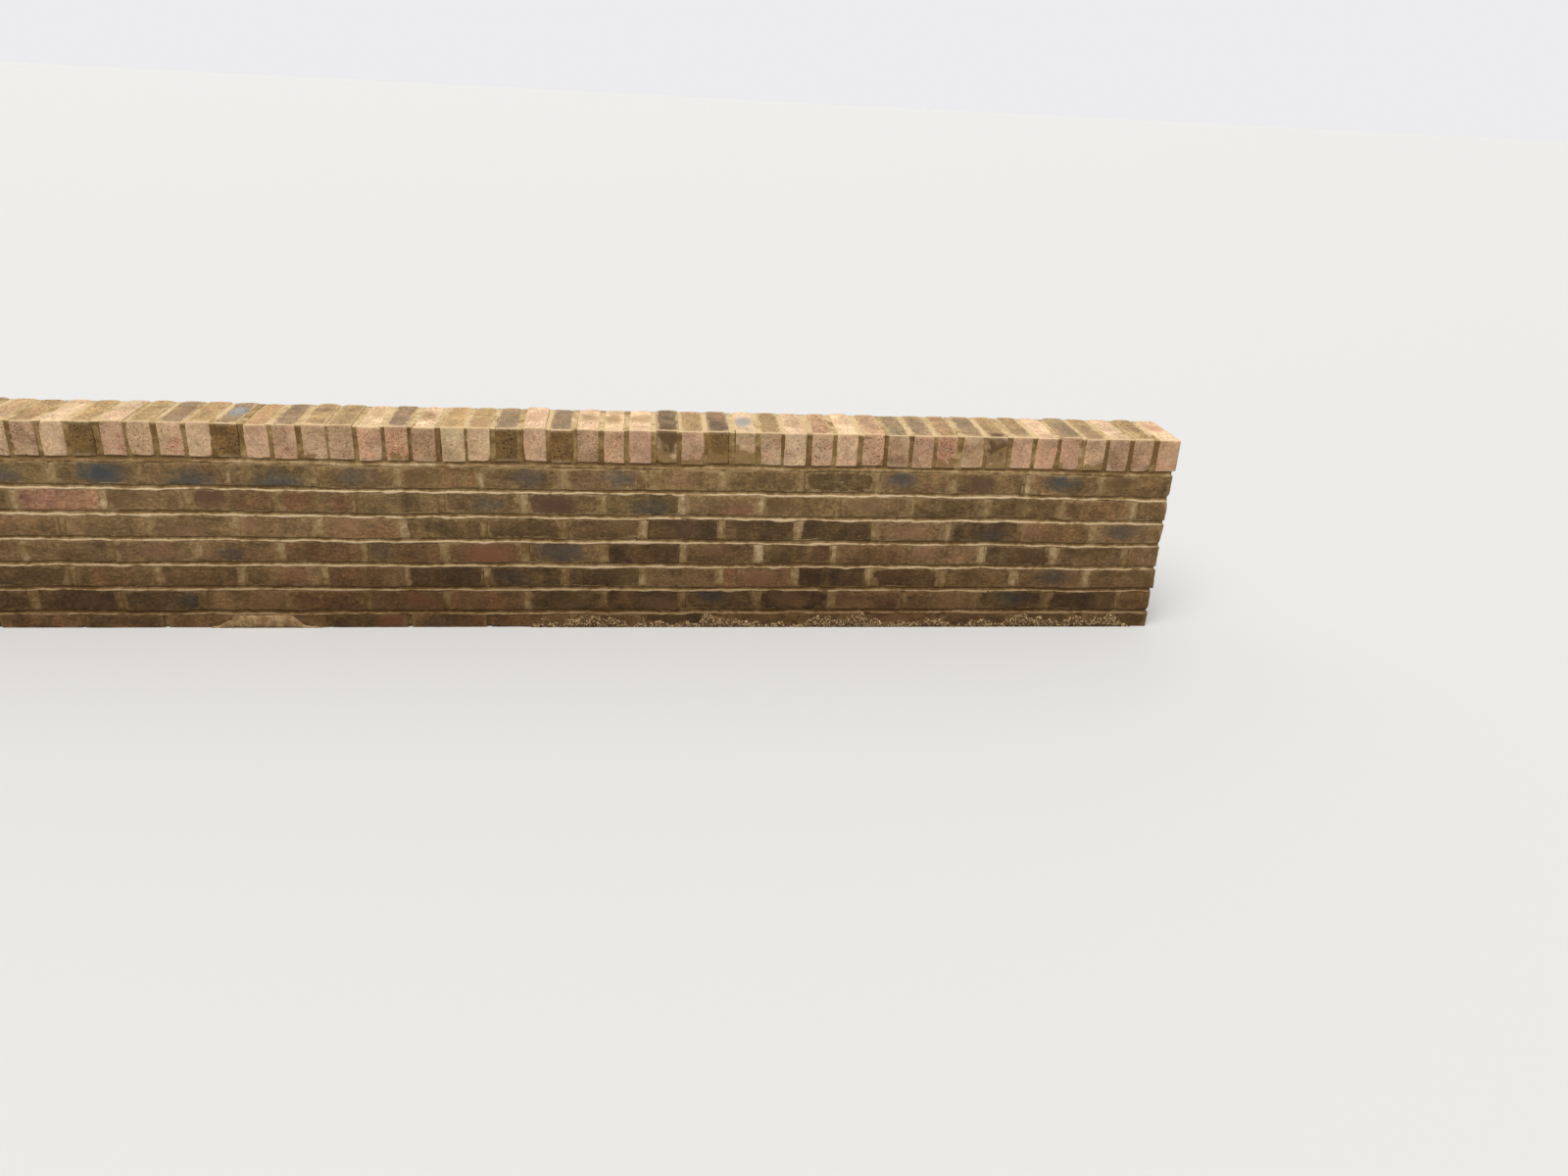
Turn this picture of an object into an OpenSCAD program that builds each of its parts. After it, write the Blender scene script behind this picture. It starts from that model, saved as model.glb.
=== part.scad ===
// A low brick garden wall, one brick thick. Two leaves of stretchers stand back to back with a
// mortar-filled collar joint between them. At both stopped ends a header runs through the wall in
// every second course and ties the leaves. Bricks laid on edge across the wall make the coping.
// X runs along the wall, Y through it, with the front face towards -Y, and Z is up.
// The origin is at the foot, in the middle of the wall's length and thickness.

/* [Brick] */
// Width of a brick, which is the thickness of one leaf
brick_w = 102.5; // [90:0.5:115]
// Height of a brick laid flat
brick_h = 65; // [50:1:80]
// Radius of the worn arrises along the top of the coping
arris = 4; // [1:0.5:10]

/* [Wall] */
// Stretchers side by side in a full course
stretchers = 18; // [2:1:26]
// Courses below the coping, with the lowest one partly buried
courses = 7; // [2:1:14]
// Height of the part of the lowest course that isn't buried
ground_show = 44; // [15:1:50]
// Lengths that the coping is laid in
coping_bays = 6; // [1:1:8]

/* [Mortar] */
// Thickness of the bed joints and of the perpends between bricks
joint = 10; // [7:0.5:14]
// Thickness at which the coping's joints are set out
coping_gap = 8.5; // [6:0.5:12]
// Depth to which the jointing iron hollows the joints
tooling = 2.5; // [1:0.25:3.5]

/* [Hidden] */
$fn = 48;
// Reach of a cut past the surface that it starts from
over = 1;

// A stretcher is as long as two headers and the joint between them
brick_l = 2 * brick_w + joint;
stretcher_pitch = brick_l + joint;
wall_t = brick_l;
wall_l = stretchers * stretcher_pitch - joint;

course_pitch = brick_h + joint;
coping_h = brick_w;
coping_z = ground_show + (courses - 1) * course_pitch + joint;
coping_bricks = floor((wall_l + coping_gap) / (brick_h + coping_gap));
// The joints share out what the whole bricks leave of the wall's length
coping_joint = (wall_l - coping_bricks * brick_h) / (coping_bricks - 1);
coping_pitch = brick_h + coping_joint;

brick_brown = [0.45, 0.36, 0.26];
brick_buff = [0.68, 0.54, 0.42];
mortar_cream = [0.67, 0.58, 0.43];

// The top course shows whole stretchers at the ends, and the one below it shows headers
function is_full(k) = (courses - k) % 2 == 0;
function course_z(k) = k == 1 ? 0 : ground_show + joint + (k - 2) * course_pitch;
function course_h(k) = k == 1 ? ground_show : brick_h;
function course_top(k) = course_z(k) + course_h(k);
function leaf_l(k) = is_full(k) ? wall_l : wall_l - 2 * brick_w;
// A header course has a perpend at both ends of its leaves, beside the headers
function perpends(k) = is_full(k) ? stretchers - 1 : stretchers;
function perpend_x(k, i) = (i - (perpends(k) - 1) / 2) * stretcher_pitch;
// Middle of the joint before coping brick i, where the first brick is number 0
function coping_joint_x(i) = -wall_l / 2 + i * coping_pitch - coping_joint / 2;
// A length of the coping starts and ends in the middle of a joint, or at an end of the wall
function bay_first(b) = ceil((b - 1) * coping_bricks / coping_bays);
function bay_start(b) = b == 1 ? -wall_l / 2 : coping_joint_x(bay_first(b));
function bay_end(b) = b == coping_bays ? wall_l / 2 : bay_start(b + 1);

// The hollow that the jointing iron leaves: a long cylinder that cuts a joint of the given width
// to the tooling depth. It stands upright, outside a face that lies in the plane Y = 0.
module hollow(width, length) {
    radius = (width * width / 4 + tooling * tooling) / (2 * tooling);
    translate([0, tooling - radius, -over]) cylinder(r = radius, h = length + 2 * over);
}

// One course of one leaf, with its face at Y = 0: stretchers bonded by their perpends into one
// mass of masonry, whose joints are tooled from the face
module leaf(k) {
    difference() {
        translate([-leaf_l(k) / 2, 0, 0]) cube([leaf_l(k), brick_w, course_h(k)]);
        for (i = [0:perpends(k) - 1]) translate([perpend_x(k, i), 0, 0]) hollow(joint, course_h(k));
    }
}

module front_course(k) {
    color(brick_brown) translate([0, -wall_t / 2, course_z(k)]) leaf(k);
}

module back_course(k) {
    color(brick_brown) mirror([0, 1, 0]) translate([0, -wall_t / 2, course_z(k)]) leaf(k);
}

// A header that runs through the wall at a stopped end: side is -1 on the left and 1 on the right
module end_header(k, side) {
    color(brick_brown)
        translate([side * (wall_l - brick_w) / 2 - brick_w / 2, -wall_t / 2, course_z(k)])
            cube([brick_w, wall_t, course_h(k)]);
}

// The upright mortar between the leaves. It shows, hollowed, at the ends of a full course.
module collar_joint(k) {
    color(mortar_cream) translate([0, 0, course_z(k)]) difference() {
        translate([-leaf_l(k) / 2, -joint / 2, 0]) cube([leaf_l(k), joint, course_h(k)]);
        if (is_full(k)) for (side = [-1, 1])
            translate([side * wall_l / 2, 0, 0]) rotate(side * 90) hollow(joint, course_h(k));
    }
}

// A bed of mortar as wide and long as the wall, hollowed along all four edges
module bed(z) {
    color(mortar_cream) translate([0, 0, z]) difference() {
        translate([-wall_l / 2, -wall_t / 2, 0]) cube([wall_l, wall_t, joint]);
        for (turn = [0, 180]) rotate(turn) translate([-wall_l / 2, -wall_t / 2, joint / 2])
            rotate([0, 90, 0]) hollow(joint, wall_l);
        for (turn = [90, 270]) rotate(turn) translate([-wall_t / 2, -wall_l / 2, joint / 2])
            rotate([0, 90, 0]) hollow(joint, wall_t);
    }
}

// A coping brick seen from the wall's end: square at its bed, with worn arrises at the top
module coping_section() {
    square([wall_t, coping_h - arris]);
    translate([arris, 0]) square([wall_t - 2 * arris, coping_h]);
    for (y = [arris, wall_t - arris]) translate([y, coping_h - arris]) circle(r = arris);
}

// The hollow of one joint between coping bricks, over the face, the top and the back
module coping_hollow() {
    for (turn = [0, 180]) rotate(turn) translate([0, -wall_t / 2, 0]) hollow(coping_joint, coping_h);
    translate([0, wall_t / 2, coping_h]) rotate([90, 0, 0]) mirror([0, 1, 0]) hollow(coping_joint, wall_t);
}

// One length of the coping: bricks on edge, each bonded to the next by a tooled joint
module coping_bay(b) {
    color(brick_buff) translate([0, 0, coping_z]) difference() {
        translate([bay_start(b), -wall_t / 2, 0]) rotate([90, 0, 90])
            linear_extrude(bay_end(b) - bay_start(b)) coping_section();
        for (i = [max(bay_first(b), 1):min(bay_first(b + 1), coping_bricks - 1)])
            translate([coping_joint_x(i), 0, 0]) coping_hollow();
    }
}

for (k = [1:courses]) {
    front_course(k);
    back_course(k);
    collar_joint(k);
    if (!is_full(k)) {
        end_header(k, -1);
        end_header(k, 1);
    }
}
for (k = [1:courses - 1])
    bed(course_top(k));
bed(course_top(courses));  // coping_bed
for (b = [1:coping_bays])
    coping_bay(b);
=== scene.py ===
"""The looks of a low brick garden wall: worn stock bricks, tooled mortar and a brick-on-edge coping.

Every brick is a closed mesh of its own, a little out of true, and the bricks of a course are joined
into one piece. Its material reads each brick's tones, burnt patch and edges at the vertices.
Lengths are in metres. X runs along the wall, the front faces -Y, and Z is up.
"""
import itertools
import math

import bmesh
import bpy
import numpy as np
from mathutils import Matrix, Vector


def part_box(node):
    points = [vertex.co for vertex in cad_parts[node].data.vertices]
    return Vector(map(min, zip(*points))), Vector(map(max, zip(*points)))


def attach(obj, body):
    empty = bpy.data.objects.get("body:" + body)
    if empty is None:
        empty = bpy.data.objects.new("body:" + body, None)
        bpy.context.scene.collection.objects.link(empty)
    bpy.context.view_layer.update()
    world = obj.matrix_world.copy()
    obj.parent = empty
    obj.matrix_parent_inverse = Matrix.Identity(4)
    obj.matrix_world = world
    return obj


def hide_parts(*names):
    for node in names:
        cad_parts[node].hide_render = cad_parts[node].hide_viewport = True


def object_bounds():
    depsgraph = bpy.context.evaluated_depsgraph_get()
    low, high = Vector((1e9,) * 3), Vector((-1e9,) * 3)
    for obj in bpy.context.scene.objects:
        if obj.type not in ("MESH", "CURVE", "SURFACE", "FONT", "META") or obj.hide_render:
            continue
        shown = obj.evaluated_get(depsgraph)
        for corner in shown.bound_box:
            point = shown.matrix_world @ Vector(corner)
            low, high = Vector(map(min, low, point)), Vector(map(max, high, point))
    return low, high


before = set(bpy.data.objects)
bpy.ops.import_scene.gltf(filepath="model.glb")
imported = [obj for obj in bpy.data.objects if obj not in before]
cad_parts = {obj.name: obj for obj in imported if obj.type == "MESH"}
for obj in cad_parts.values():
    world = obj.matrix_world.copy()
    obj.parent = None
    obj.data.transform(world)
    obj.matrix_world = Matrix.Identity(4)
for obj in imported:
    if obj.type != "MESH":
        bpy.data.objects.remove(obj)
cad_low, cad_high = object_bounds()

# Sizes of the brickwork
MM = 0.001
BRICK_W = 0.1025
BRICK_H = 0.065
JOINT = 0.010
BRICK_L = 2 * BRICK_W + JOINT
PITCH = BRICK_L + JOINT
HALF_L = cad_high.x
HALF_T = cad_high.y
TOP = cad_high.z
COURSES = sum(name.startswith("front_course_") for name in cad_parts)
BAYS = sum(name.startswith("coping_bay_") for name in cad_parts)
COPING_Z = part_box("coping_bay_1")[0].z
COPING_BRICKS = 55
COPING_JOINT = (2 * HALF_L - COPING_BRICKS * BRICK_H) / (COPING_BRICKS - 1)
COPING_PITCH = BRICK_H + COPING_JOINT
# How far the coping's last brick on the right has moved out, and how far the coping's bricks stop
# short of their bed and of the joints on each side
LAST_SHIFT = 0.004
COPING_LIFT = 0.005
COPING_NARROW = 1.3 * MM

# Meshes of the bricks: where there are lines to round an arris, and how far apart the others are
ARRIS_LINES = np.array([0, 1.6, 4.2]) * MM
FRONT_STEPS = np.array([8, 8, 6]) * MM
BACK_STEPS = np.array([12, 12, 9]) * MM
# Wear of the bricks: how round their arrises are and can be, how many chipped corners one has, how
# deep in mm a chip is and how far in mm it reaches, and how far its faces are worn back
ARRIS = 4.6 * MM
COPING_ARRIS = 2.8 * MM
ARRIS_LIMITS = (2 * MM, 11 * MM)
CHIPS = 2.5
CHIP_DEPTH, CHIP_REACH = (2, 6), (8, 18)
WORN_BACK = 0.3 * MM
# How far a brick is out of true: tilted, bowed, skewed, leaning and twisted
OUT_OF_TRUE = np.array([0.63, 0.63, 0.9, 0.45, 0.45]) * MM
# Unevenness, in layers of noise: how high each is in mm, how wide its features are, and its seed
COURSE_WAVES = (2.4, 0.45, 1), (1.3, 0.14, 8)
FACE_WAVES = ((0.9, 0.6, 2),)
ARRIS_WAVES = (2.5, 0.03, 3), (1.5, 0.011, 6)
SWELLING = (0.6, 0.05, 4), (0.4, 0.016, 5)
SEED = 7


def srgb(red, green, blue):
    """A colour given as it shows on a screen, from 0 to 255, as the renderer takes it"""
    return [((c / 255 + 0.055) / 1.055) ** 2.4 for c in (red, green, blue)] + [1.0]


# Colours of the wall's bricks
BROWN = srgb(124, 98, 63)
TAN = srgb(138, 109, 74)
UMBER = srgb(120, 89, 58)
OLIVE = srgb(113, 90, 57)
DARK = srgb(103, 79, 49)
SOOT = srgb(86, 66, 42)
PURPLE = srgb(92, 66, 50)
PINK = srgb(155, 117, 87)
ROSE = srgb(146, 106, 80)
RED = srgb(142, 96, 69)
BURNT = srgb(70, 72, 71)
# Near black: painted shade inside the pits of the bricks and the voids of the mortar
PIT = srgb(46, 34, 24)
# Colours of the coping's bricks: their fronts, then their weathered tops
PALE = srgb(194, 164, 127)
PALE_PINK = srgb(187, 149, 117)
SALMON = srgb(183, 137, 106)
BUFF = srgb(178, 148, 111)
DULL = srgb(157, 126, 92)
DARK_OLIVE = srgb(137, 105, 57)
TAN_TOP = srgb(163, 133, 94)
YELLOW_TOP = srgb(180, 149, 101)
PEACH_TOP = srgb(193, 156, 119)
CREAM_TOP = srgb(227, 193, 155)
GREY_TOP = srgb(142, 119, 92)
DARK_TOP = srgb(112, 93, 68)
BLUE_TOP = srgb(150, 148, 142)
# Worn clay along the coping's long arrises, and a painted highlight where they catch the light
WORN_EDGE_HIGHLIGHT = srgb(222, 192, 152)
BLOOM = srgb(203, 175, 143)
# Painted shade in the fine creases of the coping's fronts
CREASE_SHADE = srgb(188, 164, 142)
# Colours of the mortar, from its hollows to its lips, and of what lies along the foot
MORTAR = srgb(160, 134, 94)
# Hollows' tone: dirt and painted shade. Lips' tone: the mortar's paler tone and a painted highlight
WALL_MORTAR = srgb(118, 91, 55), srgb(156, 129, 88), srgb(199, 175, 138)
COPING_MORTAR = srgb(116, 87, 49), srgb(154, 126, 80), srgb(209, 181, 136)
SMEARED_MORTAR = srgb(130, 101, 66), srgb(168, 138, 97)
RUBBLE = srgb(116, 88, 56), srgb(192, 160, 114)
# Painted shade in the gaps between the rubble's grains
RUBBLE_GAP_SHADE = srgb(80, 59, 37)
# What damp takes from bricks, from mortar, and once more from mortar near the foot
DAMP_BRICK = srgb(190, 178, 166)
DAMP_MORTAR = srgb(220, 214, 206)
DAMP_FOOT = srgb(198, 188, 172)
# The stage: the floor as other things see it and as the camera does, and what surrounds it
FLOOR_LIT, FLOOR_SEEN = srgb(150, 148, 144), srgb(207, 206, 203)
SURROUND = srgb(236, 236, 238)

# The kinds of brick: two tones that mingle, how pitted it is, and how often it comes. A stretcher's
# own face has lost its pits.
WALL_KINDS = {
    "brown": (BROWN, OLIVE, 0.5, 0.36),
    "tan": (TAN, BROWN, 0.3, 0.20),
    "umber": (UMBER, BROWN, 0.5, 0.24),
    "olive": (OLIVE, DARK, 0.7, 0.16),
    "dark": (DARK, SOOT, 1.0, 0.02),
    "pink": (PINK, ROSE, 0.3, 0.02),
    "red": (RED, TAN, 0.4, 0.0),
}
COPING_KINDS = {
    "pale": (PALE, PALE_PINK, 0.4, 0.2),
    "pale pink": (PALE_PINK, SALMON, 0.4, 0.3),
    "buff": (BUFF, PALE_PINK, 0.6, 0.3),
    "salmon": (SALMON, PALE, 0.6, 0.1),
    "dull": (DULL, PALE_PINK, 0.45, 0.1),
    "dark": (DARK_OLIVE, DARK, 2.6, 0.0),
}
TOP_KINDS = {
    "tan": (TAN_TOP, YELLOW_TOP, 0.6, 0.5),
    "yellow": (YELLOW_TOP, TAN_TOP, 0.4, 0.2),
    "peach": (PEACH_TOP, TAN_TOP, 0.3, 0.1),
    "cream": (CREAM_TOP, PEACH_TOP, 0.1, 0.12),
    "grey": (GREY_TOP, TAN_TOP, 0.9, 0.08),
    "dark": (DARK_TOP, GREY_TOP, 1.5, 0.0),
}

# Notable bricks of the front, by course from the foot and number from the left end, from 0
WALL_NOTABLE = {
    "dark": {(5, 11), (5, 12), (5, 13), (5, 15), (4, 10), (3, 8), (3, 9), (3, 13), (2, 3), (2, 10),
             (2, 12), (2, 16)},
    "tan": {(7, 10), (7, 11), (6, 11), (5, 3), (5, 4), (5, 5), (5, 6), (5, 7), (5, 14), (4, 3),
            (4, 4), (4, 14), (3, 11), (3, 17), (2, 5), (2, 14), ("right", 4)},
    "pink": {(6, 3)},
    "red": {(3, 12)},
    "umber": {(4, 8), (7, 8), (6, 6), (6, 16), (2, 6), ("right", 2)},
    "olive": {(7, 13), (7, 17), (6, 15), (5, 9), (5, 10), (3, 3), (3, 10), (3, 14), (2, 4), (2, 7)},
    "brown": {(7, k) for k in (3, 4, 5, 6, 7, 9, 12)} | {(5, 8), (4, 11), ("right", 6)},
}
# Patches of another tone on those bricks: how far along and how far up the brick each lies, from -1
# to 1, its tone and how strong it is
PATCHES = {
    (7, 3): (-0.15, -0.3, BURNT, 0.6), (7, 4): (0.1, 0, BURNT, 1.0), (7, 5): (0.1, -1.0, BURNT, 0.8),
    (7, 6): (0.2, -1.0, BURNT, 0.8), (7, 7): (0, 0.1, BURNT, 0.5), (7, 8): (-0.6, 0.1, DARK, 0.7),
    (7, 9): (0.2, 0, BURNT, 0.5), (7, 10): (0.45, 0.1, BURNT, 0.6), (7, 11): (0, 0, PINK, 0.3),
    (7, 14): (-0.4, 0.4, BURNT, 0.7), (7, 15): (-0.3, -0.1, PURPLE, 0.8),
    (7, 16): (-0.1, 0.3, BURNT, 0.8), (7, 17): (-0.5, 0.2, DARK, 0.7), (6, 3): (0.2, 0, PINK, 0.2),
    (6, 4): (-0.75, 0, DARK, 0.6), (6, 5): (-0.6, 0.2, PURPLE, 0.8), (6, 8): (0.1, -0.2, BURNT, 0.4),
    (6, 9): (-0.3, 0, PURPLE, 0.9), (6, 10): (0.2, -0.5, BURNT, 0.5), (6, 11): (0.5, -0.6, RED, 0.5),
    (6, 12): (-0.6, 0, DARK, 0.7), (6, 13): (-0.2, 0.1, TAN, 0.6), (5, 6): (-0.95, 0.1, PINK, 0.8),
    (5, 7): (-0.4, 0.5, PINK, 0.4), (5, 11): (0, 0, PURPLE, 0.5), (5, 14): (0, 0, PINK, 0.5),
    (5, 17): (-0.2, 0.2, BURNT, 0.6), (4, 4): (0.1, 0, PINK, 0.5), (4, 8): (0.1, -0.6, RED, 1.0),
    (4, 9): (-0.1, 0.1, BURNT, 0.7), (3, 6): (0.3, 0.2, RED, 0.5), (3, 12): (0.1, 0, PINK, 0.6),
    (3, 16): (0.1, 0.2, BURNT, 0.5), (2, 7): (0.3, 0, RED, 0.5), (2, 11): (-0.2, 0.6, BURNT, 0.7),
    (2, 15): (0, 0, BURNT, 0.6), (1, 7): (0.6, 0.4, RED, 0.6),
}
# Bricks whose patch is wider than usual, and by how much
WIDE_PATCHES = {
    (7, 4): 1.15, (7, 5): 1.3, (7, 6): 1.3, (6, 5): 1.2, (6, 9): 1.3, (4, 8): 1.6, (4, 9): 1.6,
}
# Notable bricks of the coping, by number from the left end, from 0
COPING_NOTABLE = {
    "dark": {13, 18, 28, 30, 36},
    "pale": {12, 17, 19, 26, 27, 29, 39, 41},
    "pale pink": {23, 33, 42, 48, 49, 50, 54},
    "buff": {11, 15, 21, 22, 34, 37, 38, 47, 51},
    "salmon": {14, 16, 20, 24, 32, 35, 40, 45},
    "dull": {25, 31, 43, 44, 46, 52, 53},
}
TOP_NOTABLE = {
    "cream": {12, 14, 23, 25, 29, 31, 32, 33, 37, 39, 41, 49, 52, 54},
    "yellow": {13, 15, 17, 19, 26, 27},
    "peach": {40, 42},
    "grey": {16, 18, 20, 24, 28, 30, 43, 44, 46, 50},
    "dark": {34, 36},
    "tan": {11, 21, 22, 35, 38, 45, 47, 48, 51, 53},
}
# Patches on those: how far back and how far down each lies, from -1 to 1, its tone and its strength
COPING_PATCHES = {
    14: (0.1, -1, TAN_TOP, 0.6), 18: (0.1, -1, BLUE_TOP, 0.9), 23: (0.3, -1, YELLOW_TOP, 0.7),
    25: (0.1, -1, TAN_TOP, 0.9), 29: (0.1, -1, PEACH_TOP, 0.6), 31: (0.1, -1, TAN_TOP, 0.9),
    32: (0.1, -1, TAN_TOP, 0.9), 33: (0.2, -1, YELLOW_TOP, 0.8), 34: (-1, -0.5, DARK, 1.6),
    37: (0.0, -1, BLUE_TOP, 0.9), 39: (0.2, -1, TAN_TOP, 0.5), 47: (-1, -0.5, DARK, 1.6),
    54: (0.3, -1, SALMON, 0.7),
}
# Coping bricks whose fronts are smooth, and those that are smeared with mortar: how far up from their
# beds, as a share of their height
SMOOTH = {12, 17, 19, 26, 27, 29, 33, 37, 41, 48, 49, 50, 54}
SMEARED = {34: 0.4, 35: 0.35, 36: 0.5, 37: 0.4, 45: 0.25, 47: 0.35, 51: 0.25}
# What was dropped along the foot of the front: from and to, how high it lies, how much of it is
# rubble and not smeared mortar, over what length it fades out, and how many lumps lie on each metre
DROPPINGS = (
    (-0.78, -0.47, 0.050, 0.0, 0.11, 60), (0.12, 0.62, 0.023, 1.0, 0.04, 500),
    (0.60, 1.15, 0.026, 1.0, 0.04, 500), (1.12, 1.97, 0.025, 1.0, 0.04, 500),
)
# How far a heap stands out from the wall and how low and high it can be, and in mm the radii of
# its lumps and how far they stand out
HEAP_DEPTH = 2.6 * MM
HEAP_LIMITS = (1 * MM, 38 * MM)
LUMP_RADII, LUMP_OUT = (2.2, 3.4, 5.2), (1.8, 3.4)


def noise(points, size, seed):
    """Smooth noise from -1 to 1 at each point, with features about as wide as size"""
    draw = np.random.default_rng(seed)
    order = draw.permutation(256)
    height = draw.uniform(-1, 1, 256)
    spot = np.asarray(points) / size
    cell = np.floor(spot).astype(int)
    ease = (spot - cell) ** 2 * (3 - 2 * (spot - cell))
    total = np.zeros(len(spot))
    for corner in itertools.product((0, 1), repeat=3):
        x, y, z = ((cell + corner) & 255).T
        share = np.where(corner, ease, 1 - ease).prod(axis=1)
        total += share * height[order[(order[(order[x] + y) & 255] + z) & 255]]
    return total


def waves(points, layers):
    """Layers of noise added up, in metres"""
    return sum(height * MM * noise(points, size, SEED + seed) for height, size, seed in layers)


def settle(points):
    """The whole wall's slight unevenness: courses that rise and dip, the lowest bed most, towards the
    right end, and a face that isn't quite flat"""
    most_rise, bed_z, bed_reach = 4.2 * MM, 0.05, 0.07
    along = points * [1, 0, 0.6] + [3, 0, 5]
    height = points[:, 2]
    free = np.clip(height / 0.1, 0, 1) * np.clip((TOP + 0.03 - height) / 0.1, 0.3, 1)
    lowest_bed = np.exp(-(((height - bed_z) / bed_reach) ** 2)) * np.clip(height / 0.03, 0, 1)
    moved = points.copy()
    moved[:, 2] += free * waves(along, COURSE_WAVES)
    moved[:, 2] += most_rise * lowest_bed * np.clip((points[:, 0] + 0.1) / 1.3, 0, 1)
    moved[:, 1] += waves(along, FACE_WAVES)
    moved[:, 2] = np.maximum(moved[:, 2], 0)
    return moved


class Pile:
    """Closed meshes gathered into one piece, with what its material reads at each vertex"""

    def __init__(self):
        self.points, self.faces, self.values, self.size = [], [], {}, 0

    def add(self, points, quads, polygons=(), **values):
        """Adds one closed mesh. A value is one number or vector for all of it, or one for each of its
        vertices."""
        self.points.append(points)
        self.faces += (quads + self.size).tolist()
        self.faces += [[corner + self.size for corner in polygon] for polygon in polygons]
        for name, value in values.items():
            value = np.asarray(value, dtype=float)
            if value.shape[:1] != (len(points),):
                value = np.broadcast_to(value, (len(points), *value.shape))
            self.values.setdefault(name, []).append(value)
        self.size += len(points)


def put(name, data):
    """A new object in the scene"""
    made = bpy.data.objects.new(name, data)
    bpy.context.scene.collection.objects.link(made)
    return made


# The kind and the field of a layer of values, by how many numbers each value has
LAYERS = {1: ("FLOAT", "value"), 3: ("FLOAT_VECTOR", "vector"), 4: ("FLOAT_COLOR", "color")}


def piece(name, pile, material, node):
    """Makes a pile into an object that rides on the wall and stands for that CAD node"""
    mesh = bpy.data.meshes.new(name)
    mesh.from_pydata(settle(np.concatenate(pile.points)), [], pile.faces)
    for key, parts in pile.values.items():
        values = np.concatenate(parts)
        kind, field = LAYERS[1 if values.ndim == 1 else values.shape[1]]
        layer = mesh.attributes.new(key, kind, "POINT")
        layer.data.foreach_set(field, values.astype(np.float32).ravel())
    mesh.shade_smooth()
    mesh.materials.append(material)
    made = put(name, mesh)
    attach(made, "root")
    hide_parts(node)


def axis_lines(low, high, step, near=True, far=True):
    """Where a brick's mesh has its lines along one axis: close together at an arris that shows"""
    start = ARRIS_LINES if near else np.zeros(1)
    end = ARRIS_LINES if far else np.zeros(1)
    inner = np.linspace(low + start[-1], high - end[-1], 2 + int((high - low) / step) if step else 2)
    return np.concatenate([low + start[:-1], inner, high - end[:-1][::-1]])


def lattice_box(lines, shown):
    """A closed box on three sets of lines. A face that isn't shown keeps the cells beside those that
    are, and one polygon closes the rest of it. Faces are given as (axis, side), with side 0 or 1."""
    shape = [len(line) for line in lines]
    order = np.arange(math.prod(shape)).reshape(shape)
    quads, polygons = [], []
    for axis, side in itertools.product(range(3), (0, 1)):
        sheet = order.take(-side, axis)
        if side != (axis == 1):
            sheet = sheet.T
        cells = np.stack([sheet[:-1, :-1], sheet[:-1, 1:], sheet[1:, 1:], sheet[1:, :-1]], -1)
        kept = np.ones(cells.shape[:2], bool)
        if (axis, side) not in shown:
            rim = len(ARRIS_LINES) - 1 if any(other != axis for other, _ in shown) else 0
            inside = slice(rim, -rim or None)
            kept[inside, inside] = False
            if not kept.all():
                block = sheet[inside, inside]
                loop = [block[0, :-1], block[:-1, -1], block[-1, :0:-1], block[:0:-1, 0]]
                polygons.append(np.concatenate(loop))
        quads.append(cells[kept])
    quads = np.concatenate(quads)
    used = np.unique(np.concatenate([quads.ravel(), *polygons]))
    points = np.stack(np.meshgrid(*lines, indexing="ij"), -1).reshape(-1, 3)[used]
    return points, np.searchsorted(used, quads), [np.searchsorted(used, p) for p in polygons]


def brick_values(flat, place, half, look):
    """What the material reads at each point of a brick"""
    near, far = np.sort((half - np.abs(flat)) * look["rim_reach"], axis=1)[:, 1:].T
    values = {"local": flat, "grain": place, "edge": near * far / np.maximum(near + far, MM)}
    for name in ("patch", "patch_tone", "patch_size", "crease", "rim", "bloom"):
        values[name] = look[name]
    back, up = flat[:, 1] / half[1], flat[:, 2] / half[2]
    values["smear"] = look["smear"] - 0.5 + back / 2 + look["smear_side"] * up
    # Paler along a coping brick's long arrises: worn clay and a painted highlight
    upright_edge = np.sort(half[:2] - np.abs(flat[:, :2]), axis=1)[:, 1]
    values["wear"] = look["wear"] * np.exp(-upright_edge / (2.6 * MM))
    crown = np.clip((-flat[:, 1] - half[1] + 3.6 * MM) / (3 * MM), 0, 1)[:, None]
    values["crown"] = crown
    for name in ("pits", "tone_a", "tone_b"):
        values[name] = look[name] + crown * (look.get("top_" + name, look[name]) - look[name])
    return values


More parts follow.
